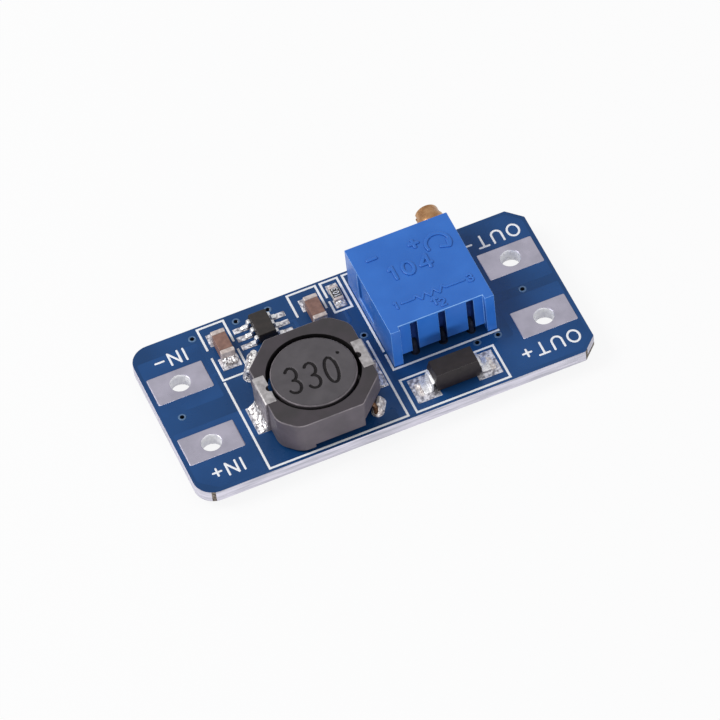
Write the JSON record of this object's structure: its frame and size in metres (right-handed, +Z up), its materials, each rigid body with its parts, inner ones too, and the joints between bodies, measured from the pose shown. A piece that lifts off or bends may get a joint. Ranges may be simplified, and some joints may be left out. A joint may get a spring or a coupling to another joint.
{
  "type": "boost converter module",
  "caption": "Small blue step-up converter board with a shielded inductor, a multi-turn trimmer, a control chip, a diode and plated solder terminals.",
  "frame": {"origin": "on the board's underside, at the centre of the four terminal holes", "axes": "+X from the input end to the output end, +Y towards the edge where the adjusting screw looks out, +Z up through the parts"},
  "size_m": [0.036, 0.0175, 0.0067],
  "materials": {
    "solder_mask": "satin",
    "tinned_copper": "satin",
    "white_print": "matte",
    "ferrite": "satin",
    "enamelled_copper": "gloss",
    "tinned_clip": "satin",
    "capacitor_ceramic": "satin",
    "end_cap": "satin",
    "alumina": "matte",
    "black_glaze": "gloss",
    "moulding_black": "matte",
    "silicon": "gloss",
    "trimmer_blue": "satin",
    "potting": "matte",
    "track_ink": "matte",
    "wheel_nylon": "satin",
    "brass": "satin",
    "seal_rubber": "matte",
    "solder": "gloss"
  },
  "bodies": {
    "module": {"board": "solder_mask", "input_minus_terminal": "tinned_copper", "input_plus_terminal": "tinned_copper", "output_minus_terminal": "tinned_copper", "output_plus_terminal": "tinned_copper", "vias": "tinned_copper", "component_pads": "tinned_copper", "printed_outlines": "white_print", "inductor_shield": "ferrite", "inductor_core": "ferrite", "inductor_winding": "enamelled_copper", "inductor_left_clip": "tinned_clip", "inductor_right_clip": "tinned_clip", "inductor_wire_ends": "enamelled_copper", "input_capacitor_body": "capacitor_ceramic", "input_capacitor_ends": "end_cap", "output_capacitor_body": "capacitor_ceramic", "output_capacitor_ends": "end_cap", "resistor_body": "alumina", "resistor_film": "black_glaze", "resistor_ends": "end_cap", "chip_leads": "tinned_clip", "chip_die": "silicon", "chip_body": "moulding_black", "diode_left_lead": "tinned_clip", "diode_right_lead": "tinned_clip", "diode_die": "silicon", "diode_body": "moulding_black", "trimmer_housing": "trimmer_blue", "trimmer_floor": "potting", "trimmer_ceramic": "alumina", "trimmer_track": "track_ink", "trimmer_pins": "tinned_clip", "trimmer_seal": "seal_rubber", "solder_top": "solder", "solder_bottom": "solder"},
    "screw": {"trimmer_screw": "brass"},
    "wheel": {"trimmer_wheel": "wheel_nylon", "trimmer_wiper": "brass"}
  },
  "joints": [
    {"name": "screw_turn", "type": "hinge", "parent": "module", "child": "screw", "pos_m": [0.00989, 0.0075, 0.0041], "axis": [0, 1, 0], "range_deg": [-4500, 4500]},
    {"name": "wheel_turn", "type": "hinge", "parent": "module", "child": "wheel", "pos_m": [0.00624, 0.00238, 0.0041], "axis": [0, 0, 1], "range_deg": [-150, 150]}
  ],
  "couplings": [
    {"joint": "wheel_turn", "follows": "screw_turn", "ratio": -0.033333}
  ]
}
